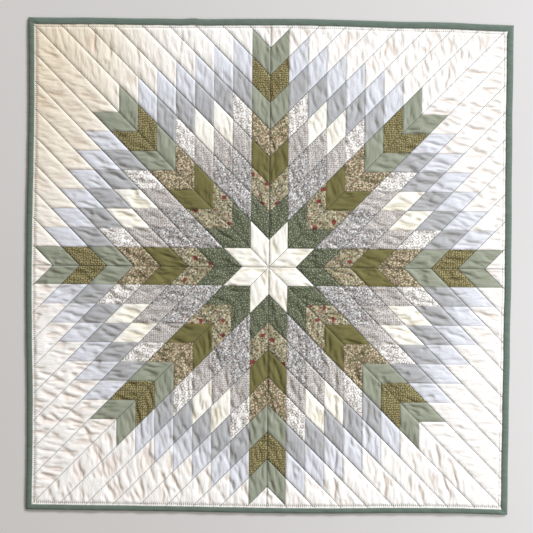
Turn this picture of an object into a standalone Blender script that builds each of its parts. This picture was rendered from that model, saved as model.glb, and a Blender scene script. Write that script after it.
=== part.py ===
"""Star quilt laid out flat: one quilted sandwich of cloth and wadding, with a folded binding sewn round its edge.

The quilt lies on the XY plane with its face up and its top edge towards +Y. The origin is on the floor, under the
middle of the quilt. Every size is in metres.
"""

import math

import bmesh
import bpy
from mathutils import Matrix, Vector

# Patchwork. Eight arms of diamonds leave the centre: four point to the sides and four to the corners. The ground
# round the star is cut in plain strips, with no seams across them.
PATCH_EDGE = 0.04395
CORNER_ARM_SHARE = 0.9925
WIDTH_DRAW = 0.9925
LENGTH_DRAW = 1.0075
STAR_CENTRE = Vector((0.0, -0.0018, 0.0))
ARMS = 8
STAR_PATCHES = 8
FARTHEST_PATCH = 14

# Outline of the bound quilt: its corners, clockwise from the top left
CORNERS = {
    "top_left": (-0.3920, 0.3982),
    "top_right": (0.3921, 0.3918),
    "bottom_right": (0.3884, -0.3988),
    "bottom_left": (-0.3891, -0.3966),
}

# Each side bows in and out of the straight line between its corners. The rows give the side, the corners that it
# joins, the way out of the quilt, the bows at equal steps, in millimetres outwards, and the width of the binding.
SIDES = (
    ("top", "top_left", "top_right", (0, 1), (0.9, 1.3, 2.4, 4.3, 4.6, 2.8, 2.6), 0.0106),
    ("right", "top_right", "bottom_right", (1, 0), (0.0, 0.0, 0.5, 1.4, 0.7, 0.5, 0.0), 0.0104),
    ("bottom", "bottom_right", "bottom_left", (0, -1), (-1.2, -0.6, 1.1, 1.5, 1.2, 0.6, 0.4), 0.0088),
    ("left", "bottom_left", "top_left", (-1, 0), (-0.9, -0.7, 1.1, 1.6, 0.6, -0.7, -0.9), 0.0094),
)
STATIONS_PER_SIDE = 24

# Thicknesses. The sandwich is pressed thin in the binding and along the quilting, and full between.
BINDING_CLOTH = 0.0007
CLEARANCE = 0.0003
PRESSED_SANDWICH = 0.0016
BINDING_WALL = 0.0012
BACK_BINDING_EXTRA = 0.0058
BINDING_CROWN = 0.0003
DITCH_HEIGHT = 0.0018
PUFF_HEIGHT = 0.0025
PLAIN_SEAM_DIP = 0.3
STITCH_INSET = 0.0039
UNDERSIDE_STEP = BACK_BINDING_EXTRA + 0.0007
BORDER_RISE = 0.014

UNDER_Z = BINDING_CLOTH + CLEARANCE
EDGE_TOP_Z = UNDER_Z + PRESSED_SANDWICH
BINDING_HEIGHT = EDGE_TOP_Z + CLEARANCE + BINDING_CLOTH

# Cuts across each quilted strip, as shares of the way from one quilting line to the next, and along it
CUTS_ACROSS = (0.0, 0.3, 0.7)
CUTS_ALONG = (0.0, 0.5)
WELD = 0.00001
MILLIMETRE = 0.001

BINDING_COLOUR = (0.10, 0.17, 0.14, 1.0)
CREAM_COLOUR = (0.80, 0.76, 0.69, 1.0)


def smooth(share):
    """Ease from 0 to 1 as share goes from 0 to 1."""
    share = min(1.0, max(0.0, share))
    return share * share * (3.0 - 2.0 * share)


def through(values, share):
    """A smooth curve through equally spaced values, read at a share of its length."""
    place = min(1.0, max(0.0, share)) * (len(values) - 1)
    index = min(int(place), len(values) - 2)
    t = place - index
    before = values[max(index - 1, 0)]
    start, end = values[index], values[index + 1]
    after = values[min(index + 2, len(values) - 1)]
    bend = 2 * before - 5 * start + 4 * end - after
    turn = 3 * start - before - 3 * end + after
    return start + 0.5 * t * (end - before + t * (bend + t * turn))


def side_line(side, along):
    """How far out a side's outer edge lies, at a coordinate along it."""
    _, first, last, out, bows, _ = side
    axis = 0 if out[0] == 0 else 1
    start, end = CORNERS[first], CORNERS[last]
    share = (along - start[axis]) / (end[axis] - start[axis])
    outward = out[1 - axis]
    straight = start[1 - axis] + (end[1 - axis] - start[1 - axis]) * share
    bow = through((0.0, *bows, 0.0), share) * MILLIMETRE
    return straight + outward * bow


def corner_point(before, after, insets):
    """Where two neighbouring sides meet, each moved in by its own inset."""
    level, upright = (before, after) if before[3][0] == 0 else (after, before)
    point = Vector((*CORNERS[after[1]], 0.0))
    point.x = side_line(upright, point.y) - upright[3][0] * insets[upright[0]]
    point.y = side_line(level, point.x) - level[3][1] * insets[level[0]]
    return point


def outline_loop(insets):
    """Points round the quilt, clockwise from the top left, moved in from the outer edge by each side's inset."""
    loop = []
    for number, side in enumerate(SIDES):
        before, after = SIDES[number - 1], SIDES[(number + 1) % len(SIDES)]
        start, end = corner_point(before, side, insets), corner_point(side, after, insets)
        out = side[3]
        for station in range(STATIONS_PER_SIDE):
            point = start.lerp(end, station / STATIONS_PER_SIDE)
            if station and out[0] == 0:
                point.y = side_line(side, point.x) - out[1] * insets[side[0]]
            elif station:
                point.x = side_line(side, point.y) - out[0] * insets[side[0]]
            loop.append(point)
    return loop


def inset_everywhere(distance):
    return {side[0]: distance for side in SIDES}


def inset_past_binding(distance):
    return {side[0]: side[5] + distance for side in SIDES}


def past_binding(point):
    """How far a point lies inside the inner edge of the binding, below zero under it."""
    nearest = math.inf
    for side in SIDES:
        out = side[3]
        if out[0] == 0:
            gap = (side_line(side, point.x) - point.y) * out[1]
        else:
            gap = (side_line(side, point.y) - point.x) * out[0]
        nearest = min(nearest, gap - side[5])
    return nearest


def arm_direction(arm):
    """The way that an arm of the star points, with the quilt's slight draw along its length."""
    turn = arm * 2 * math.pi / ARMS
    return Vector((math.cos(turn) * WIDTH_DRAW, math.sin(turn) * LENGTH_DRAW, 0.0))


def arm_step(arm):
    """The finished edge of a patch along an arm. Even arms point to the sides and odd ones to the corners."""
    return PATCH_EDGE * (CORNER_ARM_SHARE if arm % 2 else 1.0)


def patch_place(point):
    """The wedge of the star that a point is in, and its place there counted in patches along the two arms."""
    local = point - STAR_CENTRE
    turn = math.atan2(local.y / LENGTH_DRAW, local.x / WIDTH_DRAW) % (2 * math.pi)
    wedge = int(turn / (2 * math.pi / ARMS)) % ARMS
    first, second = arm_direction(wedge), arm_direction(wedge + 1)
    area = first.x * second.y - first.y * second.x
    along_first = (local.x * second.y - local.y * second.x) / area / arm_step(wedge)
    along_second = (first.x * local.y - first.y * local.x) / area / arm_step(wedge + 1)
    return wedge, along_first, along_second


def puff(point):
    """How full the sandwich is at a point: 0 in the quilting and 1 in the middle of a patch."""
    wedge, along_first, along_second = patch_place(point)
    side_arm, corner_arm = (along_second, along_first) if wedge % 2 else (along_first, along_second)
    strip, seam = side_arm % 1.0, corner_arm % 1.0
    in_star = math.floor(side_arm) + round(corner_arm) <= STAR_PATCHES
    across = 2 * min(strip, 1.0 - strip)
    off_arm = 2 * max(corner_arm, 0.0)
    fullness = 1.0 - (1.0 - min(across, off_arm, 1.0)) ** 2.4
    beside_seam = 1.0 - 2 * min(seam, 1.0 - seam) if in_star else 0.0
    return fullness * (1.0 - PLAIN_SEAM_DIP * beside_seam**3)


def unevenness(point):
    """The wadding is a little fuller in some places than in others."""
    broad = math.sin(19.0 * point.x + 7.0 * point.y + 0.6) * math.sin(23.0 * point.y - 5.0 * point.x)
    fine = math.sin(71.0 * point.x - 33.0 * point.y) * math.sin(64.0 * point.y + 21.0 * point.x + 1.1)
    return 0.86 + 0.10 * broad + 0.06 * fine


def under_height(point):
    """Height of the backing: lifted by the binding's back layer near the edge, and flat on the floor inside it."""
    inside = past_binding(point)
    lifted = 1.0 - (inside - UNDERSIDE_STEP) / (BORDER_RISE - CLEARANCE - UNDERSIDE_STEP)
    return UNDER_Z * min(1.0, max(0.0, lifted))


def face_height(point):
    """Height of the quilt's face above the floor."""
    inside = past_binding(point) - 2 * CLEARANCE
    settle = smooth(inside / BORDER_RISE)
    ditch = EDGE_TOP_Z + (DITCH_HEIGHT - EDGE_TOP_Z) * settle
    rise = smooth((inside - STITCH_INSET) / (BORDER_RISE - STITCH_INSET))
    return ditch + PUFF_HEIGHT * puff(point) * unevenness(point) * (0.1 * smooth(inside / STITCH_INSET) + 0.9 * rise)


def loft(loops):
    """A surface through the loops, made by drawing the first one out to each of the next, and its last ring."""
    shape = bmesh.new()
    ring = [shape.verts.new(point) for point in loops[0]]
    edges = [shape.edges.new(pair) for pair in zip(ring, ring[1:] + ring[:1])]
    for loop in loops[1:]:
        drawn = bmesh.ops.extrude_edge_only(shape, edges=edges)["geom"]
        fresh = {item for item in drawn if isinstance(item, bmesh.types.BMVert)}
        edges = [item for item in drawn if isinstance(item, bmesh.types.BMEdge) and fresh.issuperset(item.verts)]
        ring = [next(edge.other_vert(vert) for edge in vert.link_edges if edge.other_vert(vert) in fresh) for vert in ring]
        for vert, point in zip(ring, loop):
            vert.co = point
    return shape, edges


def flat_sheet(loops):
    """A flat mesh of rings between the loops, filled inside the last one."""
    sheet, innermost = loft(loops)
    bmesh.ops.contextual_create(sheet, geom=innermost)
    bmesh.ops.recalc_face_normals(sheet, faces=sheet.faces)
    return sheet


def cut(sheet, point, direction, drop_left=False, drop_right=False):
    """Cut the sheet along a line, and drop the cloth on one side of it where asked."""
    bmesh.ops.bisect_plane(
        sheet,
        geom=[*sheet.verts, *sheet.edges, *sheet.faces],
        dist=WELD,
        plane_co=point,
        plane_no=(direction.y, -direction.x, 0.0),
        clear_outer=drop_right,
        clear_inner=drop_left,
    )


def wedge_of(sheet, wedge):
    """A copy of the sheet between two arms, cut along its quilting lines and its seams."""
    piece = sheet.copy()
    first, second = arm_direction(wedge), arm_direction(wedge + 1)
    cut(piece, STAR_CENTRE, first, drop_right=True)
    cut(piece, STAR_CENTRE, second, drop_left=True)
    for arm, along, other in ((wedge, first, second), (wedge + 1, second, first)):
        shares = CUTS_ALONG if arm % 2 else CUTS_ACROSS
        for patch in range(FARTHEST_PATCH):
            for share in shares:
                if patch + share > 0:
                    cut(piece, STAR_CENTRE + along * arm_step(arm) * (patch + share), other)
    return piece


def quilt_body():
    """The pieced top, wadding and backing as one solid, with its quilting pressed into the face."""
    sheet = flat_sheet(
        [
            outline_loop(inset_everywhere(BINDING_WALL + CLEARANCE)),
            outline_loop(inset_past_binding(2 * CLEARANCE)),
            outline_loop(inset_past_binding(UNDERSIDE_STEP)),
            outline_loop(inset_past_binding(BORDER_RISE)),
        ]
    )
    cloth = bmesh.new()
    for wedge in range(ARMS):
        piece = wedge_of(sheet, wedge)
        part_mesh = bpy.data.meshes.new("wedge")
        piece.to_mesh(part_mesh)
        piece.free()
        cloth.from_mesh(part_mesh)
        bpy.data.meshes.remove(part_mesh)
    sheet.free()
    bmesh.ops.remove_doubles(cloth, verts=cloth.verts, dist=WELD)

    backing = list(cloth.faces)
    made = bmesh.ops.extrude_face_region(cloth, geom=backing, use_keep_orig=True)
    for item in made["geom"]:
        if isinstance(item, bmesh.types.BMVert):
            item.co.z = face_height(item.co)
    for vert in {vert for face in backing for vert in face.verts}:
        vert.co.z = under_height(vert.co)
    on_floor = [face for face in backing if all(vert.co.z < WELD for vert in face.verts)]
    bmesh.ops.dissolve_faces(cloth, faces=on_floor, use_verts=False)
    bmesh.ops.recalc_face_normals(cloth, faces=cloth.faces)
    return cloth


def binding_section(width):
    """The folded strip in section, as (distance in from the outer edge, height), once round."""
    height = BINDING_HEIGHT
    return (
        (width, height - BINDING_CLOTH),
        (width, height - 0.3 * BINDING_CLOTH),
        (width - 0.5 * BINDING_CLOTH, height),
        (0.5 * width, height + BINDING_CROWN),
        (0.0022, height),
        (0.0008, height - 0.0006),
        (0.0, 0.62 * height),
        (0.0, 0.34 * height),
        (0.0006, 0.0004),
        (0.0018, 0.0),
        (width + BACK_BINDING_EXTRA, 0.0),
        (width + BACK_BINDING_EXTRA, BINDING_CLOTH),
        (BINDING_WALL, BINDING_CLOTH),
        (BINDING_WALL, height - BINDING_CLOTH),
    )


def folded_binding():
    """The binding strip: folded over the edge all round, mitred at the corners and sewn through."""
    widths = {side[0]: side[5] for side in SIDES}
    sections = [binding_section(widths[side[0]]) for side in SIDES]
    rails = []
    for number, (_, height) in enumerate(sections[0]):
        insets = {side[0]: section[number][0] for side, section in zip(SIDES, sections)}
        rails.append([Vector((point.x, point.y, height)) for point in outline_loop(insets)])
    strip, _ = loft(rails + rails[:1])
    bmesh.ops.remove_doubles(strip, verts=strip.verts, dist=WELD)
    bmesh.ops.recalc_face_normals(strip, faces=strip.faces)
    return strip


def cloth_material(name, colour, roughness):
    """Plain cotton, with no metal in it."""
    material = bpy.data.materials.new(name)
    material.use_nodes = True
    shader = material.node_tree.nodes["Principled BSDF"]
    shader.inputs["Base Color"].default_value = colour
    shader.inputs["Roughness"].default_value = roughness
    shader.inputs["Metallic"].default_value = 0.0
    material.diffuse_color = colour
    return material


def piece_of(name, shape, material, collection):
    """An object made from a bmesh, with smooth faces and crisp folds."""
    mesh = bpy.data.meshes.new(name)
    shape.to_mesh(mesh)
    shape.free()
    mesh.shade_smooth()
    mesh.set_sharp_from_angle(angle=math.radians(40))
    mesh.materials.append(material)
    piece = bpy.data.objects.new(name, mesh)
    piece.matrix_world = Matrix.Identity(4)
    collection.objects.link(piece)
    return piece


def main():
    for old in list(bpy.data.objects):
        bpy.data.objects.remove(old)
    quilt = bpy.data.collections.new("star_quilt")
    bpy.context.scene.collection.children.link(quilt)
    cream = cloth_material("pieced_cotton", CREAM_COLOUR, 0.9)
    green = cloth_material("binding_cotton", BINDING_COLOUR, 0.85)
    piece_of("quilt_body", quilt_body(), cream, quilt)
    piece_of("binding", folded_binding(), green, quilt)


main()
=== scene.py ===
"""The looks of the star quilt: pieced face, backing, quilting and binding, laid flat on a pale floor."""

import math

import bmesh
import bpy
import numpy as np
from mathutils import Matrix, Vector


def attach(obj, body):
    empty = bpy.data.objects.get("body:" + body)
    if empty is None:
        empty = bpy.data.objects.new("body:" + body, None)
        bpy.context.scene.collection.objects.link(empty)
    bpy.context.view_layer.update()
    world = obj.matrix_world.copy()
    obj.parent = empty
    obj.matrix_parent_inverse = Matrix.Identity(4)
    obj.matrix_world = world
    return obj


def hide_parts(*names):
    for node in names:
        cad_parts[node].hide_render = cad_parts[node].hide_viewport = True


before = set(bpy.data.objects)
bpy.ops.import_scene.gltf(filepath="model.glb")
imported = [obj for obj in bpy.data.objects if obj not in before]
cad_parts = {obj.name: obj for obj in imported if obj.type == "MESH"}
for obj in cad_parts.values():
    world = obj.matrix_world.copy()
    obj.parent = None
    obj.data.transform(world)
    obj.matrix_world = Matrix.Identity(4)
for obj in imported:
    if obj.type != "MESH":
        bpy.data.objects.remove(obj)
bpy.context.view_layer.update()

# Backing
# One plain cream cotton sheet under the whole quilt, flat on the floor and drawn up a little by each line
# of quilting. Its mesh follows the strips of the face, and its edge is under the binding.
PATCH_EDGE = 0.04395
STRIP_WIDTH = PATCH_EDGE * math.sin(math.pi / 4)
CORNER_ARM_SHARE = 0.9925
CENTRE_TAKE_UP = 0.0012
WIDTH_DRAW = 0.9925
LENGTH_DRAW = 1.0075
STAR_CENTRE = Vector((0.0, -0.0018, 0.0))
STAR_PATCHES = 8
CORNERS = {
    "top_left": (-0.3920, 0.3982),
    "top_right": (0.3921, 0.3918),
    "bottom_right": (0.3884, -0.3988),
    "bottom_left": (-0.3891, -0.3966),
}
SIDES = (
    ("top", "top_left", "top_right", (0, 1), (0.9, 1.3, 2.4, 4.3, 4.6, 2.8, 2.6), 0.0106),
    ("right", "top_right", "bottom_right", (1, 0), (0.0, 0.0, 0.5, 1.4, 0.7, 0.5, 0.0), 0.0104),
    ("bottom", "bottom_right", "bottom_left", (0, -1), (-1.2, -0.6, 1.1, 1.5, 1.2, 0.6, 0.4), 0.0088),
    ("left", "bottom_left", "top_left", (-1, 0), (-0.9, -0.7, 1.1, 1.6, 0.6, -0.7, -0.9), 0.0094),
)
MILLIMETRE = 0.001
UNDER_BINDING = 0.0030
FARTHEST_PLACE = (0.3998, 0.4050)
PLACES_ALONG_ARM = 16
GRAIN_SPREAD = 0.12
CUT_SPREAD = 0.7
BACKING_SEGMENTS = 4
BACKING_FLOOR_GAP = 0.0001
BACKING_DRAWN_UP = 0.0005
BACKING_DRAWN_WIDTH = 0.004
BACKING_EDGE_LIFT = 0.0010
BACKING_LIFTED = 0.0062
BACKING_SLOPE = 0.006
# Painted shade: the colour with no shade painted on, and the shade painted along the unquilted seams.
UNSHADED = (1.0, 1.0, 1.0, 1.0)
SEAM_SHADE = (0.74, 0.73, 0.72, 1.0)


def colour(red, green, blue):
    """The linear colour of a cloth, from 0 to 255 as it looks in daylight."""
    parts = [part / 255 for part in (red, green, blue)]
    linear = [part / 12.92 if part <= 0.0404 else ((part + 0.055) / 1.055) ** 2.4 for part in parts]
    return (*linear, 1.0)


class Value:
    """A number that changes over a cloth. Arithmetic on it adds Math nodes to the cloth's material."""

    def __init__(self, dye, socket):
        self.dye = dye
        self.socket = socket

    def math(self, operation, first, second=0.0):
        return self.dye.node("ShaderNodeMath", {"operation": operation}, {0: first, 1: second})

    def __add__(self, other):
        return self.math("ADD", self, other)

    def __sub__(self, other):
        return self.math("SUBTRACT", self, other)

    def __rsub__(self, other):
        return self.math("SUBTRACT", other, self)

    def __mul__(self, other):
        return self.math("MULTIPLY", self, other)

    def __lt__(self, other):
        return self.math("LESS_THAN", self, other)

    def __pow__(self, other):
        return self.math("POWER", self, other)

    def __abs__(self):
        return self.math("ABSOLUTE", self)

    def sine(self):
        return self.math("SINE", self)

    __radd__ = __add__
    __rmul__ = __mul__


class Dye:
    """A cloth's material and its print, placed on the cloth before it was cut or on the finished piece."""

    def __init__(self, name, roughness=0.9, cut=True):
        self.material = bpy.data.materials.new(name)
        self.material.use_nodes = True
        self.shader = self.material.node_tree.nodes["Principled BSDF"]
        self.shader.inputs["Roughness"].default_value = roughness
        self.shader.inputs["Specular IOR Level"].default_value = 0.25
        self.shader.inputs["Sheen Weight"].default_value = 0.08
        if cut:
            self.place = self.node("ShaderNodeUVMap", {"uv_map": "cloth"}, {})
        else:
            self.place = self.node("ShaderNodeTexCoord", {}, {}, "Object")

    def node(self, kind, settings, inputs, output=0):
        made = self.material.node_tree.nodes.new(kind)
        for key, setting in settings.items():
            setattr(made, key, setting)
        for key, value in inputs.items():
            self.feed(made.inputs[key], value)
        if isinstance(output, tuple):
            return [Value(self, made.outputs[name]) for name in output]
        return Value(self, made.outputs[output])

    def feed(self, socket, value):
        if isinstance(value, Value):
            self.material.node_tree.links.new(value.socket, socket)
        else:
            socket.default_value = value

    def stretched(self, along, across, turn=0.0):
        inputs = {0: self.place, "Rotation": (0, 0, turn), "Scale": (along, across, 1)}
        return self.node("ShaderNodeMapping", {}, inputs)

    def noise(self, scale, detail=2.0, along=1.0, across=1.0, turn=0.0):
        place = self.stretched(along * scale, across * scale, turn)
        return self.node("ShaderNodeTexNoise", {}, {"Vector": place, "Scale": 1.0, "Detail": detail})

    def band(self, value, low, high):
        """0 up to low and 1 from high on, or the other way round where low is the greater."""
        inputs = {"Value": value, "From Min": low, "From Max": high}
        return self.node("ShaderNodeMapRange", {"interpolation_type": "SMOOTHSTEP"}, inputs)

    def mix(self, factor, first, second):
        return self.node("ShaderNodeMix", {"data_type": "RGBA"}, {0: factor, 6: first, 7: second}, 2)

    def cells(self, scale, scatter=1.0, along=1.0, across=1.0, turn=0.0, wander=0.0):
        """Distance from the middle of the nearest motif, in cells, and a number for each motif."""
        place = self.stretched(along * scale, across * scale, turn)
        if wander:
            inputs = {"Vector": place, "Scale": 1.3, "Detail": 1.0}
            shift = self.node("ShaderNodeTexNoise", {}, inputs, "Color")
            shift = self.node("ShaderNodeVectorMath", {"operation": "SCALE"}, {0: shift, "Scale": wander})
            place = self.node("ShaderNodeVectorMath", {"operation": "ADD"}, {0: place, 1: shift})
        inputs = {"Vector": place, "Scale": 1.0, "Randomness": scatter}
        flat = {"voronoi_dimensions": "2D"}
        far, tint = self.node("ShaderNodeTexVoronoi", flat, inputs, ("Distance", "Color"))
        return far, self.node("ShaderNodeSeparateColor", {}, {0: tint}, ("Red", "Green"))

    def spots(self, scale, radius, share=1.0, **spread):
        """Round spots of a print, each in a cell of its own, on that share of the cells."""
        far, (lot, _) = self.cells(scale, **spread)
        shown = self.band(far, radius * 1.25, radius * 0.75)
        return shown if share == 1.0 else shown * (lot < share)

    def printed(self, tone, ink, scale, radius, share=1.0, **spread):
        """The tone with spots of one ink printed over it."""
        return self.mix(self.spots(scale, radius, share, **spread), tone, colour(*ink))

    def times(self, tone, shade):
        inputs = {0: 1.0, 6: tone, 7: shade}
        return self.node("ShaderNodeMix", {"data_type": "RGBA", "blend_type": "MULTIPLY"}, inputs, 2)

    def finish(self, tone, crease_shade=(0.93, 0.92, 0.90), wrinkled=1.0, dents=0.0):
        """Give the print its weave, fine wrinkles and uneven tone, and painted shade in creases and along
        seams.
        """
        warp = self.noise(240, 2.0, along=1.0, across=9.0)
        weft = self.noise(240, 2.0, along=9.0, across=1.0)
        threads = (warp + weft) * 0.5
        lit = 0.94 + 0.07 * self.noise(14, 3.0) + 0.06 * threads
        tone = self.times(tone, self.node("ShaderNodeCombineColor", {}, {0: lit, 1: lit, 2: lit}))
        # Painted shade: the tone is darkened where the folds crease and along the seams, where shade falls.
        if crease_shade:
            depth = self.node("ShaderNodeAttribute", {"attribute_name": "crease_shade_share"}, {}, "Fac")
            tone = self.times(tone, self.mix(depth, UNSHADED, (*crease_shade, 1.0)))
            seam = self.node("ShaderNodeAttribute", {"attribute_name": "seam"}, {}, "Fac")
            tone = self.times(tone, self.mix(seam, UNSHADED, SEAM_SHADE))
        self.feed(self.shader.inputs["Base Color"], tone)
        wrinkles = self.noise(120, 2.0, along=0.3) * 1.3 + self.noise(330, 1.0, along=0.45) * 0.25
        height = threads * 0.06 + wrinkles * wrinkled - dents * 0.5
        relief = {"Strength": 1.0, "Distance": MILLIMETRE, "Height": height}
        self.feed(self.shader.inputs["Normal"], self.node("ShaderNodeBump", {}, relief))
        return self.material


def arm(number):
    """The way that an arm of the star points. Even arms point to the sides and odd ones to the corners."""
    turn = number * math.pi / 4
    return Vector((math.cos(turn) * WIDTH_DRAW, math.sin(turn) * LENGTH_DRAW, 0.0))


def reach(number, patches):
    """How far along an arm that many patches go."""
    if number % 2 == 0:
        return PATCH_EDGE * patches
    return PATCH_EDGE * CORNER_ARM_SHARE * patches - CENTRE_TAKE_UP * min(patches, 1)


def star_place(x, y):
    """Where points lie in the star, counted in patches along the nearest side arm and corner arm."""
    east, north = x / WIDTH_DRAW, (y - STAR_CENTRE.y) / LENGTH_DRAW
    off_side = np.abs((np.arctan2(north, east) + math.pi / 4) % (math.pi / 2) - math.pi / 4)
    far = np.hypot(east, north)
    side = far * (np.cos(off_side) - np.sin(off_side)) / PATCH_EDGE
    corner = far * np.sin(off_side) * math.sqrt(2)
    first = reach(1, 1)
    past = 1 + (corner - first) / (PATCH_EDGE * CORNER_ARM_SHARE)
    return side, np.where(corner < first, corner / first, past)


def through(values, share):
    """A smooth curve through equally spaced values, read at shares of its length."""
    place = np.clip(share, 0, 1) * (len(values) - 1)
    index = np.minimum(place.astype(int), len(values) - 2)
    t = place - index
    values = np.asarray(values, float)
    before, start = values[np.maximum(index - 1, 0)], values[index]
    end, after = values[index + 1], values[np.minimum(index + 2, len(values) - 1)]
    bend = 2 * before - 5 * start + 4 * end - after
    turn = 3 * start - before - 3 * end + after
    return start + 0.5 * t * (end - before + t * (bend + t * turn))


def side_line(side, along):
    """How far out a side's outer edge lies, at coordinates along it."""
    _, first, last, out, bows, _ = side
    axis = 0 if out[0] == 0 else 1
    start, end = CORNERS[first], CORNERS[last]
    share = (np.asarray(along, float) - start[axis]) / (end[axis] - start[axis])
    straight = start[1 - axis] + (end[1 - axis] - start[1 - axis]) * share
    return straight + out[1 - axis] * through((0.0, *bows, 0.0), share) * MILLIMETRE


def past_binding(x, y):
    """How far points lie inside the inner edge of the binding, below zero under it."""
    gaps = []
    for side in SIDES:
        out = side[3]
        gap = (side_line(side, x) - y) * out[1] if out[0] == 0 else (side_line(side, y) - x) * out[0]
        gaps.append(gap - side[5])
    return np.min(gaps, axis=0)


def smooth(share):
    """A soft step from 0 to 1."""
    share = np.clip(share, 0, 1)
    return share * share * (3 - 2 * share)


def sewn_patches(places, segments, trimmed=False):
    """Flat diamonds at the places in each of the star's eight wedges, joined where they meet."""
    cloth = bmesh.new()
    for wedge in range(8):
        side, corner = (wedge, wedge + 1) if wedge % 2 == 0 else (wedge + 1, wedge)
        for steps, rise in places:
            along = arm(side) * (reach(side, steps + 1) - reach(side, steps))
            across = arm(corner) * (reach(corner, rise + 1) - reach(corner, rise))
            start = STAR_CENTRE + arm(side) * reach(side, steps) + arm(corner) * reach(corner, rise)
            placed = Matrix.Translation(start + (along + across) / 2)
            placed.col[0].xyz = along
            placed.col[1].xyz = across
            bmesh.ops.create_grid(cloth, x_segments=segments, y_segments=segments, size=0.5, matrix=placed)
    bmesh.ops.remove_doubles(cloth, verts=cloth.verts, dist=0.00002)
    if trimmed:
        for _, first, last, out, _, _ in SIDES:
            start, end = Vector((*CORNERS[first], 0)), Vector((*CORNERS[last], 0))
            run = (end - start).normalized()
            outward = Vector((-run.y, run.x, 0))
            bmesh.ops.bisect_plane(
                cloth,
                geom=[*cloth.verts, *cloth.edges, *cloth.faces],
                dist=0.00001,
                plane_co=start - outward * UNDER_BINDING,
                plane_no=outward,
                clear_outer=True,
            )
    cloth.normal_update()
    bmesh.ops.reverse_faces(cloth, faces=[face for face in cloth.faces if face.normal.z < 0])
    return cloth


def cloth_piece(name, cloth, height, material, seed, face_up=True):
    """An object made of flat cloth, with its relief, its UV map from before it was cut, and its material."""
    mesh = bpy.data.meshes.new(name)
    if not face_up:
        bmesh.ops.reverse_faces(cloth, faces=cloth.faces)
    cloth.to_mesh(mesh)
    cloth.free()
    points = np.empty(len(mesh.vertices) * 3)
    mesh.vertices.foreach_get("co", points)
    points = points.reshape(-1, 3)
    points[:, 2], crease_shade_share, seam_shade_share = height(points[:, 0], points[:, 1])
    mesh.vertices.foreach_set("co", points.ravel())
    # Painted shade: how much shade to paint in the creases and along the seams, kept on the mesh for the
    # material.
    for label, values in (("crease_shade_share", crease_shade_share), ("seam", seam_shade_share)):
        mesh.attributes.new(label, "FLOAT", "POINT").data.foreach_set("value", values.astype(np.float32))

    middles = np.empty(len(mesh.polygons) * 3)
    mesh.polygons.foreach_get("center", middles)
    middles = middles.reshape(-1, 3)
    side, corner = star_place(middles[:, 0], middles[:, 1])
    wedge = (np.arctan2(middles[:, 1] - STAR_CENTRE.y, middles[:, 0]) // (math.pi / 4)).astype(int) % 8
    last = PLACES_ALONG_ARM - 1
    steps, rise = np.clip(side, 0, last).astype(int), np.clip(corner, 0, last).astype(int)
    patch = (wedge * PLACES_ALONG_ARM + steps) * PLACES_ALONG_ARM + rise
    corners = np.empty(len(mesh.polygons), np.int32)
    mesh.polygons.foreach_get("loop_total", corners)
    patch = np.repeat(patch, corners)
    ends = np.empty(len(mesh.loops), np.int32)
    mesh.loops.foreach_get("vertex_index", ends)
    lots = np.random.default_rng(seed).uniform(0, 1, (8 * PLACES_ALONG_ARM**2, 3))[patch]
    wedge = patch // PLACES_ALONG_ARM**2
    grain = (wedge + wedge % 2) * math.pi / 4 + (lots[:, 2] - 0.5) * GRAIN_SPREAD
    x, y = points[ends, 0], points[ends, 1]
    turned = (x * np.cos(grain) + y * np.sin(grain), y * np.cos(grain) - x * np.sin(grain))
    uv = np.stack([turned[0] + lots[:, 0] * CUT_SPREAD, turned[1] + lots[:, 1] * CUT_SPREAD], axis=1)
    mesh.uv_layers.new(name="cloth").data.foreach_set("uv", uv.astype(np.float32).ravel())
    mesh.materials.append(material)
    mesh.shade_smooth()
    mesh.update()
    piece = bpy.data.objects.new(name, mesh)
    bpy.context.scene.collection.objects.link(piece)
    return piece


def whole_quilt():
    """Every diamond-shaped place from the star's centre to past the edge of the quilt."""
    return [(steps, rise) for steps in range(11) for rise in range(14) if on_quilt(steps, rise)]


def on_quilt(steps, rise):
    """Whether any of that place lies inside the outline, seen from the arm that points to the right."""
    near = arm(0) * reach(0, steps) + arm(1) * reach(1, rise)
    return near.x < FARTHEST_PLACE[0] and near.y < FARTHEST_PLACE[1]


def backing_height(x, y):
    """Height of the backing, drawn up along the quilting and lifted over the binding's back layer."""
    side, corner = star_place(x, y)
    stitched = np.minimum(np.abs(side - np.round(side)), corner) * STRIP_WIDTH
    drawn = BACKING_DRAWN_UP * np.exp(-((stitched / BACKING_DRAWN_WIDTH) ** 2))
    inside = past_binding(x, y)
    lift = BACKING_EDGE_LIFT * (1 - smooth((inside - BACKING_LIFTED) / BACKING_SLOPE))
    return BACKING_FLOOR_GAP + np.maximum(drawn * smooth(inside / 0.01), lift), 0 * x, 0 * x


backing_dye = Dye("plain_backing_cotton")
backing_tone = backing_dye.mix(backing_dye.noise(60), colour(228, 222, 210), colour(236, 231, 220))
backing_cloth = backing_dye.finish(backing_tone, crease_shade=None, wrinkled=0.5)
backing_shape = sewn_patches(whole_quilt(), BACKING_SEGMENTS, trimmed=True)
backing = cloth_piece("backing", backing_shape, backing_height, backing_cloth, 1, face_up=False)
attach(backing, "root")

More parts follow.
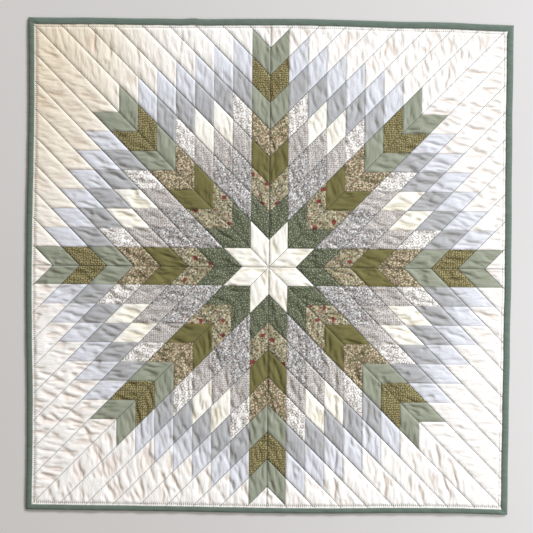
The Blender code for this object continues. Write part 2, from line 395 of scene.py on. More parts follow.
# Middle of the star
# Eight cream cotton diamonds sewn point to point. All the face's patches are cut from strips that are 31 mm
# wide when sewn. They lie full on the wadding between the lines of quilting, gathered into small folds.
DITCH_HEIGHT = 0.0018
EDGE_HEIGHT = 0.0024
PUFF_HEIGHT = 0.0014
PUFF_RISE = 0.0052
PATCH_SEGMENTS = 24
STITCH_INSET = 0.0039
BORDER_RISE = 0.012
GATHER_KEPT = 0.35
GATHER_RISE = 0.0025
BORDER_PINCH = 0.0022
DEEPEST_BODY = 0.0008
# Painted shade in the creases and along the unquilted seams.
LEVEL_SHADE = 0.15
FULL_SHADE_DEPTH = 0.0010
SEAM_SHADE_WIDTH = 0.0009
FOLD_STEP = 0.0008
FOLD_REACH = 0.412
FOLD_TURNS = (170, 105, 100, 170, 170, 105, 95, 180)
STAR_FOLDS = (2.1, 1.3, 1.1, 1.8, 2.2, 2.0, 1.6, 2.0)
GROUND_FOLDS = (1.6, 1.2, 0.7, 0.9, 1.9, 1.8, 1.1, 0.9)
FOLD_SPACING = (0.11, 0.28)
FOLD_WIDTHS = (0.0020, 0.0040)
WHOLE_FOLD_LENGTHS = (0.030, 0.042)
SHORT_FOLD_LENGTHS = (0.010, 0.024)
FOLD_DEPTH_SHARES = (0.3, 1.25)
MIDDLE_CALM = 0.7
CREASE_WAVER = 0.0008
CREASE_WAVES = 230
GENTLE_SIDE = 0.8
STEEP_SIDE = 1.25
MAIN_CREASE_WIDTH = 0.0028
MAIN_CREASE_FADE = 1.15
SWELLS = 900
# The main creases: across and up from the quilt's middle, turn in degrees, length and depth. Sizes are in mm.
MAIN_CREASES = (
    # Top left quarter
    (-350, 275, 175, 30, 1.6), (-280, 205, 175, 35, 1.6), (-245, 160, 170, 40, 2.0),
    (-250, 145, 160, 35, 2.0), (-295, 50, 165, 40, 2.0), (-165, 15, 165, 30, 2.2),
    (-285, 360, 90, 40, 1.6), (-260, 350, 90, 35, 1.6), (-215, 340, 95, 35, 1.6),
    (-145, 360, 85, 35, 1.6),
    # Top right quarter
    (285, 305, 80, 35, 2.2), (250, 325, 100, 25, 1.8), (185, 355, 80, 35, 1.6),
    (335, 315, 175, 35, 2.0), (275, 250, 175, 45, 2.0), (340, 260, 170, 40, 1.8),
    (330, 225, 165, 40, 1.6), (235, 170, 15, 40, 1.8), (250, 135, 170, 35, 2.0),
    (260, 105, 165, 45, 2.2), (230, 190, 170, 40, 1.8), (140, 250, 80, 35, 1.8),
    # Bottom left quarter
    (-350, -180, 160, 40, 2.0), (-340, -250, 150, 35, 2.4), (-315, -240, 150, 40, 2.4),
    (-290, -275, 115, 35, 2.0), (-270, -315, 105, 30, 2.4), (-190, -315, 95, 60, 2.4),
    (-165, -355, 110, 45, 2.4), (-145, -355, 115, 40, 2.4), (-240, -350, 110, 30, 2.0),
    (-350, -345, 150, 30, 1.8), (-205, -265, 100, 35, 2.2), (-275, -170, 155, 40, 1.8),
    (-250, -135, 10, 45, 2.0), (-210, -240, 95, 45, 2.4), (-195, -235, 95, 45, 2.2),
    (-320, -80, 165, 35, 2.0),
    # Bottom right quarter
    (110, -180, 90, 45, 2.2), (110, -230, 90, 40, 2.4), (110, -315, 85, 40, 2.4),
    (110, -360, 90, 40, 2.4), (160, -240, 85, 45, 2.0), (190, -360, 90, 40, 2.2),
    (275, -305, 100, 40, 1.8), (290, -355, 110, 40, 2.2), (305, -345, 100, 40, 2.0),
    (285, -45, 170, 40, 2.2), (265, -80, 165, 40, 2.0), (255, -115, 165, 40, 2.0),
    (305, -110, 160, 35, 1.8), (345, -75, 165, 30, 1.8), (355, -110, 5, 35, 1.6),
)
SEAM_DEPTH = 0.0005
SEAM_HALF_WIDTH = 0.0012
ALLOWANCE_WIDTH = 0.0062
ALLOWANCE_HEIGHT = 0.00025


def press_crease(field, x, y, turn, length, width, depth, bend=0.0, sway=0.0):
    """Press one crease into the field, with its middle at a point, steeper on one side than on the other."""
    size = len(field)
    room = length / 2 + 3 * width
    low = [max(int((c - room + FOLD_REACH) / FOLD_STEP), 0) for c in (x, y)]
    high = [min(int((c + room + FOLD_REACH) / FOLD_STEP) + 2, size) for c in (x, y)]
    if low[0] >= high[0] or low[1] >= high[1]:
        return
    across_x = np.arange(low[0], high[0]) * FOLD_STEP - FOLD_REACH - x
    across_y = np.arange(low[1], high[1]) * FOLD_STEP - FOLD_REACH - y
    dx, dy = np.meshgrid(across_x, across_y)
    along = dx * math.cos(turn) + dy * math.sin(turn)
    off = dy * math.cos(turn) - dx * math.sin(turn) + bend * along**2
    off += CREASE_WAVER * np.sin(along * CREASE_WAVES + sway)
    off = np.where(off > 0, off * GENTLE_SIDE, off * STEEP_SIDE) / width
    fade = np.clip(1 - (2 * along / length) ** 2, 0, 1) ** 0.8
    field[low[1] : high[1], low[0] : high[0]] -= depth * fade * np.exp(-np.abs(off) ** 1.6)


def gathered_folds():
    """The main creases, each where it lies, and the small ones from one line of quilting to the next."""
    size = int(2 * FOLD_REACH / FOLD_STEP) + 2
    field = np.zeros((size, size))
    lot = np.random.default_rng(23)
    for wedge in range(8):
        side, corner = (wedge, wedge + 1) if wedge % 2 == 0 else (wedge + 1, wedge)
        for strip in range(11):
            rise = -0.3
            while rise < 14:
                whole = lot.uniform() < 0.5
                steps = strip + (0.5 if whole else lot.choice((0.22, 0.78))) + lot.normal(0, 0.06)
                place = STAR_CENTRE + arm(side) * reach(side, steps) + arm(corner) * reach(corner, rise)
                turn = math.radians(FOLD_TURNS[wedge]) + lot.normal(0, 0.14)
                length = lot.uniform(*(WHOLE_FOLD_LENGTHS if whole else SHORT_FOLD_LENGTHS))
                width = lot.uniform(*FOLD_WIDTHS)
                deepest = (STAR_FOLDS if steps + rise < STAR_PATCHES else GROUND_FOLDS)[wedge]
                calm = MIDDLE_CALM if steps + rise < 1.6 else 1.0
                share = lot.uniform(*FOLD_DEPTH_SHARES)
                depth = deepest * calm * MILLIMETRE * share * (width / 0.0030) ** 0.7
                bend, sway = lot.normal(0, 5), lot.uniform(0, 6)
                press_crease(field, place.x, place.y, turn, length, width, depth, bend, sway)
                rise += lot.uniform(*FOLD_SPACING)
    for x, y, turn, length, depth in MAIN_CREASES:
        place = (x * MILLIMETRE, y * MILLIMETRE, math.radians(turn), length * MAIN_CREASE_FADE * MILLIMETRE)
        bend, sway = lot.normal(0, 4), lot.uniform(0, 6)
        press_crease(field, *place, MAIN_CREASE_WIDTH, depth * MILLIMETRE, bend, sway)
    for _ in range(SWELLS):
        x, y = lot.uniform(-0.4, 0.4, 2)
        turn, length, width = lot.uniform(0, math.pi), lot.uniform(0.03, 0.08), lot.uniform(0.006, 0.012)
        press_crease(field, x, y, turn, length, width, lot.normal(0, 0.0003))
    return field - field.mean()


fold_field = gathered_folds()


def read_field(field, x, y):
    """The field between its points."""
    across, up = (x + FOLD_REACH) / FOLD_STEP, (y + FOLD_REACH) / FOLD_STEP
    column = np.clip(across.astype(int), 0, len(field) - 2)
    row = np.clip(up.astype(int), 0, len(field) - 2)
    right, over = across - column, up - row
    lower = field[row, column] * (1 - right) + field[row, column + 1] * right
    upper = field[row + 1, column] * (1 - right) + field[row + 1, column + 1] * right
    return lower * (1 - over) + upper * over


def face_height(x, y):
    """Height of the quilt's face, and the painted shade in its creases there and near a seam that isn't
    quilted.
    """
    side, corner = star_place(x, y)
    off_line = np.abs(side - np.round(side)) * STRIP_WIDTH
    stitched = np.minimum(off_line, corner * STRIP_WIDTH)
    seam = corner - np.round(corner)
    in_star = np.floor(side) + np.round(corner) <= STAR_PATCHES
    off_seam = np.abs(seam) * STRIP_WIDTH
    dip = SEAM_DEPTH * np.exp(-((off_seam / SEAM_HALF_WIDTH) ** 2)) * in_star
    pressed = (seam > 0) & (off_seam < ALLOWANCE_WIDTH) & in_star
    allowance = ALLOWANCE_HEIGHT * smooth((ALLOWANCE_WIDTH - off_seam) / 0.002) * pressed
    folds = read_field(fold_field, x, y)
    full = 1 - np.exp(-((stitched / PUFF_RISE) ** 0.9) * 1.6)
    gather = GATHER_KEPT + (1 - GATHER_KEPT) * (1 - np.exp(-stitched / GATHER_RISE))
    inside = past_binding(x, y)
    settle = smooth(inside / BORDER_RISE)
    border = EDGE_HEIGHT + (DITCH_HEIGHT - EDGE_HEIGHT) * settle
    from_stitches = np.abs(inside - STITCH_INSET)
    held = 1 - 0.9 * np.exp(-((from_stitches / BORDER_PINCH) ** 2)) - 0.6 * np.exp(-((inside / 0.002) ** 2))
    held = np.clip(held, 0, 1) * smooth((inside + 0.003) / 0.007)
    body = PUFF_HEIGHT * full + folds * gather + allowance - dip * gather
    # Painted shade: a little everywhere, more the deeper a crease is, and more near an unquilted seam.
    crease_shade_share = np.clip(LEVEL_SHADE - folds / FULL_SHADE_DEPTH, 0, 1) * gather
    seam_shade_share = np.exp(-((off_seam / SEAM_SHADE_WIDTH) ** 2)) * in_star
    return border + np.maximum(body, -DEEPEST_BODY) * held, crease_shade_share, seam_shade_share


def face_piece(name, places, material, seed, trimmed=False):
    """Patches of one cloth on the quilt's face, made at the size that their strips have when sewn."""
    piece = cloth_piece(name, sewn_patches(places, PATCH_SEGMENTS, trimmed), face_height, material, seed)
    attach(piece, "root")
    return piece


# Painted shade: the warm darker colour that the cream cotton is given in its creases.
CREAM_CREASE_SHADE = (0.88, 0.85, 0.77)
cream_dye = Dye("cream_cotton")
cream_tone = cream_dye.mix(cream_dye.noise(30), colour(246, 243, 231), colour(250, 248, 237))
cream_cloth = cream_dye.finish(cream_tone, crease_shade=CREAM_CREASE_SHADE)
face_piece("star_middle", [(0, 0)], cream_cloth, 2)

# Dark green ring
# Two diamonds in each arm, of dark green cotton with a scatter of tiny pale dots, sewn round the middle.
green_dye = Dye("dotted_green_cotton")
green_ground = green_dye.mix(green_dye.noise(70), colour(80, 86, 64), colour(94, 99, 76))
green_faint = green_dye.mix(green_dye.spots(420, 0.30, 0.6) * 0.6, green_ground, colour(124, 130, 106))
green_dots = green_dye.printed(green_faint, (188, 194, 172), 255, 0.15, scatter=0.8)
face_piece("green_ring", [(1, 0), (0, 1)], green_dye.finish(green_dots), 3)

# Rose print ring
# The next diamond of each arm, of sandy cotton printed with leaves, dark sprigs and small red roses.
rose_dye = Dye("rose_print_cotton")
rose_ground = rose_dye.mix(rose_dye.noise(320, 1.0), colour(146, 138, 106), colour(176, 168, 140))
rose_leaves = rose_dye.printed(rose_ground, (108, 104, 72), 260, 0.38, 0.6, wander=0.6)
rose_pale = rose_dye.printed(rose_leaves, (210, 200, 176), 250, 0.30, 0.45, wander=0.5)
rose_sprigs = rose_dye.printed(rose_pale, (78, 80, 84), 230, 0.26, 0.45, turn=0.7, wander=0.3)
rose_petals = rose_dye.printed(rose_sprigs, (154, 118, 98), 130, 0.24, 0.25, turn=0.4, wander=0.7)
rose_blooms = rose_dye.printed(rose_petals, (124, 62, 56), 44, 0.14, 0.6, across=0.8, wander=0.35)
face_piece("rose_print_ring", [(2, 0), (0, 2)], rose_dye.finish(rose_blooms), 4)

# Plain olive diamonds
# The third diamond of each arm, of plain olive cotton.
olive_dye = Dye("olive_cotton")
olive_plain = olive_dye.mix(olive_dye.noise(50), colour(106, 101, 57), colour(118, 113, 69))
face_piece("olive_diamonds", [(3, 0), (0, 3)], olive_dye.finish(olive_plain), 5)

# Calico diamonds
# The fourth diamond of each arm, of brown cotton closely printed with pinkish blossoms.
calico_dye = Dye("calico_cotton")
calico_ground = calico_dye.mix(calico_dye.noise(300, 1.0), colour(112, 106, 76), colour(144, 135, 105))
calico_leaves = calico_dye.printed(calico_ground, (88, 86, 62), 280, 0.34, 0.55, wander=0.6)
calico_pink = calico_dye.printed(calico_leaves, (181, 154, 132), 290, 0.38, 0.6, turn=0.5, wander=0.6)
calico_pale = calico_dye.printed(calico_pink, (209, 198, 169), 280, 0.33, 0.5, turn=1.1, wander=0.6)
face_piece("calico_diamonds", [(4, 0), (0, 4)], calico_dye.finish(calico_pale), 6)

# Sage diamonds
# The fifth and seventh diamonds of each arm, of plain light sage cotton.
sage_dye = Dye("sage_cotton")
sage_plain = sage_dye.mix(sage_dye.noise(50), colour(143, 148, 128), colour(154, 159, 141))
sage_places = [(5, 0), (0, 5), (7, 0), (0, 7)]
face_piece("sage_diamonds", sage_places, sage_dye.finish(sage_plain), 7)

# Dotted olive diamonds
# The sixth diamond of each arm, of olive cotton with close rows of small pale dots.
dotted_dye = Dye("dotted_olive_cotton")
dotted_ground = dotted_dye.mix(dotted_dye.noise(60), colour(100, 91, 50), colour(112, 103, 62))
dotted_olive = dotted_dye.printed(dotted_ground, (184, 176, 136), 370, 0.25, scatter=0.5, along=0.75)
face_piece("dotted_olive_diamonds", [(6, 0), (0, 6)], dotted_dye.finish(dotted_olive), 8)

# Grey flower print
# The diamonds between the arms nearest to the middle, of white cotton closely printed with grey sprigs and
# a few red ones.
flower_dye = Dye("grey_flower_cotton")
flower_ground = flower_dye.mix(flower_dye.noise(300, 1.0), colour(160, 159, 155), colour(190, 188, 184))
flower_grey = flower_dye.printed(flower_ground, (124, 124, 122), 290, 0.36, 0.6, wander=0.6)
flower_white = flower_dye.printed(flower_grey, (224, 222, 218), 260, 0.34, 0.55, turn=0.6, wander=0.5)
flower_dark = flower_dye.printed(flower_white, (84, 86, 88), 310, 0.28, 0.4, turn=1.2, wander=0.3)
flower_red = flower_dye.printed(flower_dark, (150, 116, 106), 170, 0.2, 0.35, turn=0.3)
flower_places = [(1, 1), (2, 1), (1, 2)]
face_piece("grey_flower_diamonds", flower_places, flower_dye.finish(flower_red), 9)

# Taupe sprig print
# The next row between the arms, of pale taupe cotton with rows of tiny sprigs.
sprig_dye = Dye("taupe_sprig_cotton")
sprig_ground = sprig_dye.mix(sprig_dye.noise(200, 1.0), colour(190, 185, 178), colour(206, 202, 196))
sprig_dark = sprig_dye.printed(sprig_ground, (126, 120, 114), 390, 0.30, 0.9, scatter=0.5, along=0.8)
sprig_pale = sprig_dye.printed(sprig_dark, (218, 214, 208), 300, 0.26, 0.35, scatter=0.7, turn=0.8)
sprig_places = [(3, 1), (2, 2), (1, 3)]
face_piece("taupe_sprig_diamonds", sprig_places, sprig_dye.finish(sprig_pale), 10)

# Scroll print
# The two outer diamonds of the next row in each wedge, of white cotton printed with curling taupe lines.
scroll_dye = Dye("scroll_print_cotton")
scroll_far, _ = scroll_dye.cells(120, 0.75, wander=0.35)
scroll_rings = scroll_dye.band(abs(scroll_far - 0.30), 0.09, 0.04)
scroll_vines = scroll_dye.band(abs(scroll_dye.noise(190, 0.0) - 0.5), 0.055, 0.02)
scroll_ground = scroll_dye.mix(scroll_dye.noise(50), colour(243, 241, 235), colour(248, 246, 241))
scroll_lines = scroll_dye.mix(scroll_vines * 0.75, scroll_ground, colour(150, 142, 130))
scroll_curls = scroll_dye.mix(scroll_rings * 0.85, scroll_lines, colour(138, 128, 116))
face_piece("scroll_print_diamonds", [(4, 1), (1, 4)], scroll_dye.finish(scroll_curls), 11)

# Cream diamonds
# The two inner diamonds of that row, of the same plain cream cotton as the middle.
face_piece("cream_diamonds", [(3, 2), (2, 3)], cream_cloth, 12)

# Mid grey diamonds
# The sixth row between the arms, of plain mid grey cotton.
grey_dye = Dye("grey_cotton")
grey_plain = grey_dye.mix(grey_dye.noise(60), colour(168, 169, 169), colour(180, 181, 181))
grey_places = [(steps, 6 - steps) for steps in range(1, 6)]
face_piece("grey_diamonds", grey_places, grey_dye.finish(grey_plain), 13)

# Pale grey diamonds
# The last row of the star, of very pale grey cotton with a faint lavender marbling.
pale_dye = Dye("pale_grey_cotton")
pale_marbled = pale_dye.mix(pale_dye.noise(90, 3.0), colour(208, 210, 216), colour(223, 225, 228))
pale_places = [(steps, 7 - steps) for steps in range(1, 7)]
face_piece("pale_grey_diamonds", pale_places, pale_dye.finish(pale_marbled), 14)

# Cream ground
# Plain strips of the cream cotton from the star out to the binding, quilted along the star's own lines, with
# a warm painted shade toward the top left corner. Along the binding, the stitches of the border line draw it
# in with tiny tucks, most of all at the left and bottom, and shade is painted into the tucks.
TUCK_SPACING = 3.2
TUCK_MIDDLE = 3.6
TUCK_SHADE = 0.7
SIDE_TUCKS = {"top": 0.45, "right": 0.15, "bottom": 1.0, "left": 1.0}
# Painted shade: how far the warm darker tone reaches from the top left corner.
CORNER_SHADE_REACH = 0.40
CORNER_SHADE_FADE = 0.36
CORNER_SHADE_STRETCH = (1.35, 0.75)
ground_dye = Dye("cream_ground_cotton")
ground_tone = ground_dye.mix(ground_dye.noise(30), colour(245, 242, 235), colour(249, 247, 241))
from_binding = ground_dye.node("ShaderNodeAttribute", {"attribute_name": "from_binding"}, {}, "Fac")
round_quilt = ground_dye.node("ShaderNodeAttribute", {"attribute_name": "round_quilt"}, {}, "Fac")
tuck_place = round_quilt * (2 * math.pi / TUCK_SPACING) + ground_dye.noise(60) * 6.0
tuck_wave = (tuck_place.sine() * 0.5 + 0.5) ** 4.0
tuck_length = ground_dye.band(abs(from_binding - TUCK_MIDDLE), 2.8, 1.4)
tuck_reach = tuck_length * ground_dye.band(ground_dye.noise(40), 0.25, 0.5)
tucked = ground_dye.node("ShaderNodeAttribute", {"attribute_name": "tucked"}, {}, "Fac")
corner_shade = ground_dye.node("ShaderNodeAttribute", {"attribute_name": "corner_shade"}, {}, "Fac")
tuck_dents_and_shade = tuck_wave * tuck_reach * tucked
# Painted shade: the cloth is warmer and darker toward the top left corner, where less light falls.
ground_tone = ground_dye.mix(corner_shade, ground_tone, colour(230, 218, 193))
# Painted shade: the tucks are darkened where shadow falls in them. The same tucks also dent the surface.
ground_tone = ground_dye.mix(tuck_dents_and_shade * TUCK_SHADE, ground_tone, colour(176, 164, 152))
# Painted shade: the ground cotton's warm darker colour in its creases.
ground_cloth = ground_dye.finish(ground_tone, crease_shade=(0.89, 0.83, 0.79), dents=tuck_dents_and_shade)
ground_places = [place for place in whole_quilt() if sum(place) >= STAR_PATCHES]
ground = face_piece("cream_ground", ground_places, ground_cloth, 15, trimmed=True)
ground_points = np.empty(len(ground.data.vertices) * 3)
ground.data.vertices.foreach_get("co", ground_points)
ground_x, ground_y, _ = ground_points.reshape(-1, 3).T
at_sides = np.abs(ground_x) > np.abs(ground_y)
tucked_across = np.where(ground_x > 0, SIDE_TUCKS["right"], SIDE_TUCKS["left"])
tucked_along = np.where(ground_y > 0, SIDE_TUCKS["top"], SIDE_TUCKS["bottom"])
from_left, from_top = ground_x - CORNERS["top_left"][0], CORNERS["top_left"][1] - ground_y
from_corner = np.hypot(from_left * CORNER_SHADE_STRETCH[0], from_top * CORNER_SHADE_STRETCH[1])
ground_values = {
    "from_binding": past_binding(ground_x, ground_y) / MILLIMETRE,
    "round_quilt": np.where(at_sides, ground_y, ground_x) / MILLIMETRE,
    "tucked": np.where(at_sides, tucked_across, tucked_along),
    "corner_shade": smooth((CORNER_SHADE_REACH - from_corner) / CORNER_SHADE_FADE),
}
for label, values in ground_values.items():
    ground.data.attributes.new(label, "FLOAT", "POINT").data.foreach_set("value", values.astype(np.float32))
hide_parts("quilt_body")

# Quilting
# Dark grey cotton thread, sewn by machine in the seams that run slanting out from the side arms, and along
# all eight arms.
STITCH = 0.0032
STITCH_SHARE = 0.58
THREAD_RADIUS = 0.00035
THREAD_LIFT = 0.0002


def stitches(name, lines, material):
    """Machine stitches along lines on the face, each a short length of thread that dips into the cloth."""
    mesh = bpy.data.meshes.new(name)
    seam = bmesh.new()
    for start, end in lines:
        run = end - start
        count = max(int(run.length / STITCH), 2)
        step = run / count
        turned = Matrix.Rotation(math.atan2(step.y, step.x), 4, "Z")
        sized = Matrix.Diagonal((STITCH_SHARE * step.length, THREAD_RADIUS, THREAD_RADIUS, 1))
        placed = Matrix.Translation(start + step / 2) @ turned @ sized
        row = bmesh.new()
        bmesh.ops.create_icosphere(row, subdivisions=1, radius=1, matrix=placed)
        one = {"geom": [*row.verts, *row.edges, *row.faces], "dvec": step, "use_duplicate": True}
        bmesh.ops.spin(row, cent=start, axis=(0, 0, 1), angle=0.0, steps=count - 1, **one)
        row.to_mesh(mesh)
        row.free()
        seam.from_mesh(mesh)
    seam.to_mesh(mesh)
    seam.free()
    points = np.empty(len(mesh.vertices) * 3)
    mesh.vertices.foreach_get("co", points)
    points = points.reshape(-1, 3)
    low, _, _ = face_height(points[:, 0], points[:, 1])
    points[:, 2] += low + THREAD_LIFT
    mesh.vertices.foreach_set("co", points.ravel())
    mesh.materials.append(material)
    mesh.shade_smooth()
    piece = bpy.data.objects.new(name, mesh)
    bpy.context.scene.collection.objects.link(piece)
    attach(piece, "root")
    return piece


def within_binding(start, end):
    """The stretch of a line that lies inside the border's stitches, or nothing."""
    shares = np.linspace(0, 1, 400)
    x = start.x + (end.x - start.x) * shares
    y = start.y + (end.y - start.y) * shares
    kept = shares[past_binding(x, y) > 0.0005]
    if len(kept) < 2:
        return None
    return start.lerp(end, kept[0]), start.lerp(end, kept[-1])


quilting_lines = []
for wedge in range(8):
    side, corner = (wedge, wedge + 1) if wedge % 2 == 0 else (wedge + 1, wedge)
    for strip in range(1, 11):
        start = STAR_CENTRE + arm(side) * reach(side, strip)
        quilting_lines.append(within_binding(start, start + arm(corner) * reach(corner, 14)))
for number in range(8):
    start = STAR_CENTRE + arm(number) * 0.001
    quilting_lines.append(within_binding(start, STAR_CENTRE + arm(number) * 0.62))
quilting_lines = [line for line in quilting_lines if line]


def thread_material(name, dark, light):
    """Cotton thread, a little uneven in tone with its twist."""
    dye = Dye(name, 0.8, cut=False)
    ply = dye.node("ShaderNodeTexNoise", {}, {"Vector": dye.place, "Scale": 900.0})
    dye.feed(dye.shader.inputs["Base Color"], dye.mix(ply, dark, light))
    return dye.material


grey_thread = thread_material("grey_thread", colour(48, 52, 52), colour(74, 78, 78))
stitches("quilting", quilting_lines, grey_thread)

# Border stitches
# A line of machine stitches all round, 4 mm inside the binding, which holds the binding's wider back layer.


def border_loop(inset):
    """Corners of the line of stitches, moved in from the inner edge of the binding."""
    corners = []
    for number, side in enumerate(SIDES):
        before = SIDES[number - 1]
        level, upright = (before, side) if before[3][0] == 0 else (side, before)
        x, y = CORNERS[side[1]]
        x = float(side_line(upright, y)) - upright[3][0] * (upright[5] + inset)
        y = float(side_line(level, x)) - level[3][1] * (level[5] + inset)
        corners.append(Vector((x, y, 0)))
    return corners


def border_runs(inset, pieces=16):
    """Short straight runs along the line of stitches, so that it follows each side's bow."""
    runs = []
    corners = border_loop(inset)
    for number, side in enumerate(SIDES):
        start, end = corners[number], corners[(number + 1) % 4]
        points = []
        for share in range(pieces + 1):
            point = start.lerp(end, share / pieces)
            if side[3][0] == 0:
                point.y = float(side_line(side, point.x)) - side[3][1] * (side[5] + inset)
            else:
                point.x = float(side_line(side, point.y)) - side[3][0] * (side[5] + inset)
            points.append(point)
        runs += list(zip(points, points[1:]))
    return runs


border_thread = thread_material("border_thread", colour(136, 142, 132), colour(166, 170, 160))
stitches("border_stitches", border_runs(STITCH_INSET), border_thread)

# Binding
# One long strip of teal green cotton, folded double over the raw edge and sewn down, mitred at the corners.
# Its ends are joined on the top side, where the folded cloth stands out in a small lump.
BINDING_STEPS = 160
BINDING_HEIGHT = 0.0037
BINDING_CLOTH = 0.0007
BACK_BINDING_EXTRA = 0.0058
JOIN_X = -0.126
JOIN_HALF_WIDTH = 0.011
JOIN_LUMP = 0.0012
MITRE_DIP = 0.0010


def binding_section(width):
    """The folded strip in section, as (distance in from the outer edge, height), once round."""
    height = BINDING_HEIGHT
    return (
        (width, height - 1.6 * BINDING_CLOTH),
        (width + 0.0001, height - 0.9 * BINDING_CLOTH),
        (width - 0.0003, height - 0.25 * BINDING_CLOTH),
        (width - 0.0012, height),
        (0.72 * width, height + 0.0002),
        (0.5 * width, height + 0.00025),
        (0.33 * width, height + 0.0001),
        (0.0020, height - 0.0002),
        (0.0010, height - 0.0006),
        (0.0003, height - 0.0013),
        (0.0, 0.5 * height),
        (0.0002, 0.25 * height),
        (0.0008, 0.0004),
        (0.0018, 0.0001),
        (0.5 * width, 0.0),
        (width + BACK_BINDING_EXTRA, 0.0),
        (width + BACK_BINDING_EXTRA, BINDING_CLOTH),
        (0.5 * width, BINDING_CLOTH),
        (0.0016, BINDING_CLOTH),
        (0.0016, height - 1.6 * BINDING_CLOTH),
    )


def outline_corner(before, after, insets):
    """Where two sides of the outline meet, moved in by each side's inset."""
    level, upright = (before, after) if before[3][0] == 0 else (after, before)
    x, y = CORNERS[after[1]]
    x = float(side_line(upright, y)) - upright[3][0] * insets[upright[0]]
    y = float(side_line(level, x)) - level[3][1] * insets[level[0]]
    return Vector((x, y, 0))


def outline_loop(insets, height, ripple):
    """Points round the quilt at one height, moved in from the outer edge by each side's inset."""
    loop = []
    for number, side in enumerate(SIDES):
        start = outline_corner(SIDES[number - 1], side, insets)
        end = outline_corner(side, SIDES[(number + 1) % 4], insets)
        out = side[3]
        for step in range(BINDING_STEPS):
            share = step / BINDING_STEPS
            point = start.lerp(end, share)
            calm = min(1.0, 12 * min(share, 1 - share))
            wave, swell = ripple[number][step]
            lump = 0.0
            if side[0] == "top":
                lump = JOIN_LUMP * math.exp(-(((point.x - JOIN_X) / JOIN_HALF_WIDTH) ** 2))
            outward = (wave * calm + lump) * (1 if insets[side[0]] < side[5] + 0.002 else 0)
            if step and out[0] == 0:
                point.y = float(side_line(side, point.x)) - out[1] * insets[side[0]] + out[1] * outward
            elif step:
                point.x = float(side_line(side, point.y)) - out[0] * insets[side[0]] + out[0] * outward
            mitre = MITRE_DIP * math.exp(-((min(share, 1 - share) * BINDING_STEPS) ** 2) / 0.5)
            top = height > 0.002
            point.z = height + (swell * calm + 0.25 * lump - mitre if top else 0)
            loop.append(point)
    return loop


def drawn_from(vert, fresh):
    """The new vertex that was drawn out from that one."""
    ends = (edge.other_vert(vert) for edge in vert.link_edges)
    return next(end for end in ends if end in fresh)


def loft(loops):
    """A closed surface through the loops, made by drawing the first one out to each of the next."""
    shape = bmesh.new()
    ring = [shape.verts.new(point) for point in loops[0]]
    edges = [shape.edges.new(pair) for pair in zip(ring, ring[1:] + ring[:1])]
    for loop in loops[1:] + loops[:1]:
        drawn = bmesh.ops.extrude_edge_only(shape, edges=edges)["geom"]
        fresh = {item for item in drawn if isinstance(item, bmesh.types.BMVert)}
        edges = [item for item in drawn if isinstance(item, bmesh.types.BMEdge)]
        edges = [edge for edge in edges if fresh.issuperset(edge.verts)]
        ring = [drawn_from(vert, fresh) for vert in ring]
        for vert, point in zip(ring, loop):
            vert.co = point
    bmesh.ops.remove_doubles(shape, verts=shape.verts, dist=0.00001)
    bmesh.ops.recalc_face_normals(shape, faces=shape.faces)
    return shape


binding_lot = np.random.default_rng(40)


def unevenness(spread, waves):
    """How far the folded edge strays along one side, as a sum of waves."""
    shares = np.linspace(0, 1, BINDING_STEPS)
    stray = np.zeros(BINDING_STEPS)
    for wave in waves:
        swing = binding_lot.normal(0, spread)
        stray += swing * np.sin(shares * wave + binding_lot.uniform(0, 6))
    return stray


binding_ripple = []
for side in SIDES:
    outward = unevenness(0.00016, (9, 21, 43, 80))
    upward = unevenness(0.00010, (17, 50, 110, 190))
    binding_ripple.append(list(zip(outward, upward)))

binding_sections = [binding_section(side[5]) for side in SIDES]
binding_loops = []
for number, (_, height) in enumerate(binding_sections[0]):
    insets = {side[0]: section[number][0] for side, section in zip(SIDES, binding_sections)}
    binding_loops.append(outline_loop(insets, height, binding_ripple))
binding_shape = loft(binding_loops)
binding_mesh = bpy.data.meshes.new("binding_strip")
binding_shape.to_mesh(binding_mesh)
binding_shape.free()

binding_dye = Dye("teal_binding_cotton", 0.85, cut=False)
binding_tone = binding_dye.mix(binding_dye.noise(90, 3.0), colour(92, 107, 96), colour(106, 121, 110))
binding_mesh.materials.append(binding_dye.finish(binding_tone, crease_shade=None))
binding_mesh.shade_smooth()
binding_strip = bpy.data.objects.new("binding_strip", binding_mesh)
bpy.context.scene.collection.objects.link(binding_strip)
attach(binding_strip, "root")
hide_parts("binding")

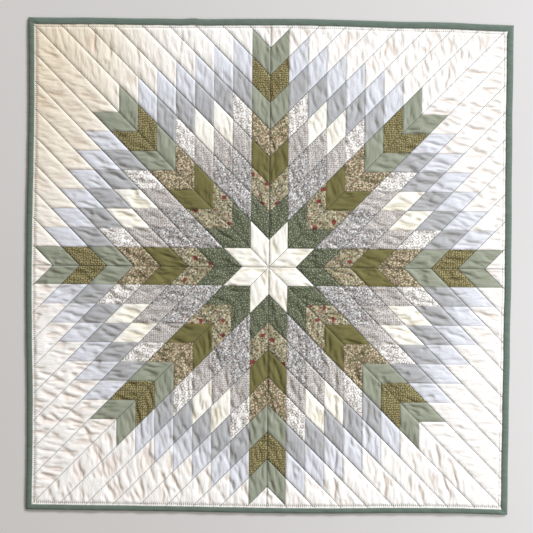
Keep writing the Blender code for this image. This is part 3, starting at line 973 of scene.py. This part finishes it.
# Floor, light and camera
# A plain pale floor, soft daylight from the upper right, and a camera straight above.
floor_mesh = bpy.data.meshes.new("floor")
floor_shape = bmesh.new()
bmesh.ops.create_grid(floor_shape, x_segments=1, y_segments=1, size=3.0)
floor_shape.to_mesh(floor_mesh)
floor_shape.free()
floor_mesh.transform(Matrix.Translation((0, 0, -0.0002)))
floor_dye = Dye("pale_floor", 0.7, cut=False)
floor_cloud = floor_dye.node("ShaderNodeTexNoise", {}, {"Vector": floor_dye.place, "Scale": 2.0})
floor_tone = floor_dye.mix(floor_cloud, colour(206, 204, 200), colour(214, 212, 208))
floor_dye.feed(floor_dye.shader.inputs["Base Color"], floor_tone)
floor_mesh.materials.append(floor_dye.material)
floor = bpy.data.objects.new("floor", floor_mesh)
bpy.context.scene.collection.objects.link(floor)


def window(name, place, aim, size, power, tint):
    """A large soft light."""
    light = bpy.data.lights.new(name, "AREA")
    light.shape = "RECTANGLE"
    light.size, light.size_y = size
    light.energy = power
    light.color = tint
    lamp = bpy.data.objects.new(name, light)
    lamp.location = place
    lamp.rotation_euler = (Vector(aim) - Vector(place)).to_track_quat("-Z", "Y").to_euler()
    bpy.context.scene.collection.objects.link(lamp)


window("window_light", (4.2, 4.8, 2.9), (0.0, 0.0, 0.0), (1.6, 1.6), 620, (0.98, 1.01, 1.10))
window("side_light", (1.5, -0.4, 1.0), (0.0, 0.0, 0.0), (0.9, 0.9), 13, (0.98, 1.01, 1.10))
world = bpy.data.worlds.new("soft_daylight")
world.use_nodes = True
world.node_tree.nodes["Background"].inputs["Color"].default_value = (1.0, 0.92, 0.83, 1.0)
world.node_tree.nodes["Background"].inputs["Strength"].default_value = 0.34
bpy.context.scene.world = world
bpy.context.scene.view_settings.view_transform = "Standard"

PHOTO_PIXELS = 533
PIXELS_A_METRE = 620
FRAME_WIDTH = PHOTO_PIXELS / PIXELS_A_METRE
CAMERA_PLACE = (-0.0040, -0.0010)
CAMERA_TURN = 0.0087
MIDDLE_HEIGHT = 0.0035
camera_data = bpy.data.cameras.new("camera")
camera_data.lens = 50
camera_data.sensor_width = 36
camera = bpy.data.objects.new("camera", camera_data)
camera.location = (*CAMERA_PLACE, MIDDLE_HEIGHT + FRAME_WIDTH * camera_data.lens / camera_data.sensor_width)
camera.rotation_euler = (0.0, 0.0, CAMERA_TURN)
bpy.context.scene.collection.objects.link(camera)
bpy.context.scene.camera = camera
